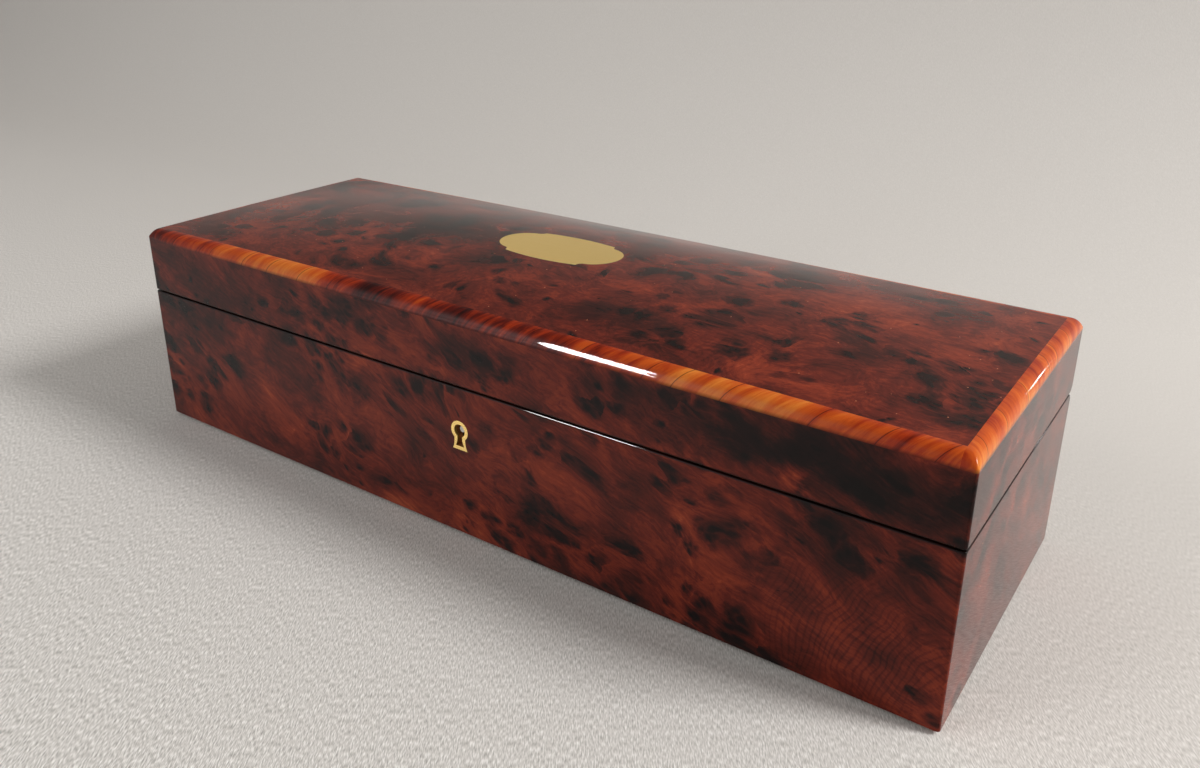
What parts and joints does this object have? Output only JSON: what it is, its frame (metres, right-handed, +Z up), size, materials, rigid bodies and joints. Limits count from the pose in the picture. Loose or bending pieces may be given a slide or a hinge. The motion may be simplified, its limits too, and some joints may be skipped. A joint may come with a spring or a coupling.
{
  "type": "glove box",
  "caption": "Long low wooden glove box with a hinged domed lid, burl veneer, crossband, brass inlays, a small lock and a padded lining.",
  "frame": {"origin": "centre of the underside, where the box rests", "axes": "+X along the length, -Y towards the front with the keyhole, +Z up"},
  "size_m": [0.3, 0.103, 0.0818],
  "materials": {
    "burl_veneer": "French polished burl veneer",
    "crossband": "French polished striped crossband",
    "carcass": "planed wood, oiled edges",
    "brass": "flat polished brass",
    "steel": "filed steel",
    "satin": "padded satin",
    "satin_buttons": "satin covered buttons",
    "base_cloth": "dark felt"
  },
  "bodies": {
    "case": {"base_cover": "base_cloth", "bottom_board": "carcass", "body_front_board": "carcass", "body_back_board": "carcass", "body_left_board": "carcass", "body_right_board": "carcass", "body_front_veneer": "burl_veneer", "body_back_veneer": "burl_veneer", "body_left_veneer": "burl_veneer", "body_right_veneer": "burl_veneer", "escutcheon": "brass", "body_hinge_leaves": "brass", "body_hinge_screws": "brass", "hinge_pins": "brass", "lock_plate": "brass", "lock_cap": "steel", "key_pin": "steel", "lock_spring": "steel", "lock_screws": "brass", "base_pad": "satin", "front_pad": "satin", "back_pad": "satin", "left_pad": "satin", "right_pad": "satin", "base_buttons": "satin_buttons"},
    "lid": {"lid_front_board": "carcass", "lid_back_board": "carcass", "lid_left_board": "carcass", "lid_right_board": "carcass", "top_board": "carcass", "top_veneer": "burl_veneer", "cartouche": "brass", "lid_front_veneer": "burl_veneer", "lid_back_veneer": "burl_veneer", "lid_left_veneer": "burl_veneer", "lid_right_veneer": "burl_veneer", "crossband_front": "crossband", "crossband_back": "crossband", "crossband_left": "crossband", "crossband_right": "crossband", "lid_hinge_leaves": "brass", "lid_hinge_screws": "brass", "strike_plate": "brass", "strike_screws": "brass", "lid_pad": "satin", "lid_buttons": "satin_buttons"},
    "bolt": {"lock_bolt": "steel"}
  },
  "joints": [
    {"name": "lid_hinge", "type": "hinge", "parent": "case", "child": "lid", "pos_m": [0, 0.049, 0.05145], "axis": [-1, 0, 0], "range_deg": [0, 95]},
    {"name": "bolt_slide", "type": "slide", "parent": "case", "child": "bolt", "axis": [1, 0, 0], "range_m": [0, 0.004]}
  ]
}
